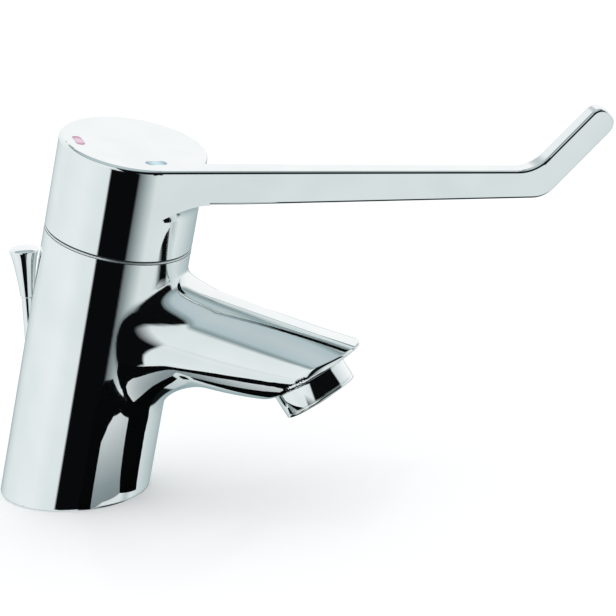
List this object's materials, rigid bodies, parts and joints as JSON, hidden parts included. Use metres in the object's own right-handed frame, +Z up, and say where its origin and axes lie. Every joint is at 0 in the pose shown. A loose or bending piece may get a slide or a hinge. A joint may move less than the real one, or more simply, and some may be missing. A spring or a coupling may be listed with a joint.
{
  "type": "elbow lever tap",
  "caption": "Basin mixer tap with a leaning round body, a ridged spout with an aerator, a long upturned elbow lever and a pop-up waste knob.",
  "frame": {"origin": "middle of the round base, on the deck plane z = 0", "axes": "+Z up from the deck, -Y forward along the spout over the basin, +X to the right of a person who stands in front of the spout"},
  "size_m": [0.1252, 0.1856, 0.1242],
  "materials": {
    "chromed_brass": "bright polished chrome plating on brass",
    "chromed_plug": "bright chrome plating",
    "brass": "turned brass",
    "steel": "turned stainless steel",
    "grey_plastic": "moulded engineering plastic",
    "white_plastic": "moulded acetal",
    "black_plastic": "moulded acetal",
    "ceramic": "lapped alumina ceramic",
    "rubber": "moulded nitrile rubber",
    "hot_enamel": "red enamel inlay",
    "cold_enamel": "blue enamel inlay"
  },
  "bodies": {
    "root": {"tap_body": "chromed_brass", "base_seal": "rubber", "port_seals": "rubber", "cartridge_base": "grey_plastic", "fixed_ceramic_disc": "ceramic", "cartridge_housing": "white_plastic", "cartridge_nut": "brass", "glide_ring": "black_plastic", "dome_cover": "chromed_brass", "aerator_housing": "chromed_brass", "aerator_washer": "rubber", "aerator_screen": "steel", "aerator_insert": "white_plastic", "rod_guide_bush": "white_plastic"},
    "carrier": {"swivel_carrier": "grey_plastic", "pivot_pin": "steel"},
    "lever": {"lever_handle": "chromed_brass", "stem": "steel", "grub_screw": "steel", "screw_plug": "chromed_plug", "hot_mark": "hot_enamel", "cold_mark": "cold_enamel"},
    "disc": {"moving_ceramic_disc": "ceramic", "disc_driver": "white_plastic"},
    "popup": {"popup_knob": "chromed_brass", "popup_rod": "chromed_brass", "rod_clip": "steel"}
  },
  "joints": [
    {"name": "lever_swivel", "type": "hinge", "parent": "root", "child": "carrier", "pos_m": [0, -0.02044, 0.08199], "axis": [0, -0.2419, 0.9703], "range_deg": [-95, 5]},
    {"name": "lever_lift", "type": "hinge", "parent": "carrier", "child": "lever", "pos_m": [0, -0.02044, 0.08199], "axis": [-0.7071, -0.6861, -0.1711], "range_deg": [0, 20]},
    {"name": "disc_slide", "type": "slide", "parent": "carrier", "child": "disc", "axis": [0.7071, -0.6861, -0.1711], "range_m": [0, 0.00524]},
    {"name": "popup_slide", "type": "slide", "parent": "root", "child": "popup", "axis": [0, 0, 1], "range_m": [0, 0.01]}
  ],
  "couplings": [
    {"joint": "disc_slide", "follows": "lever_lift", "m_per_rad": 0.015}
  ]
}
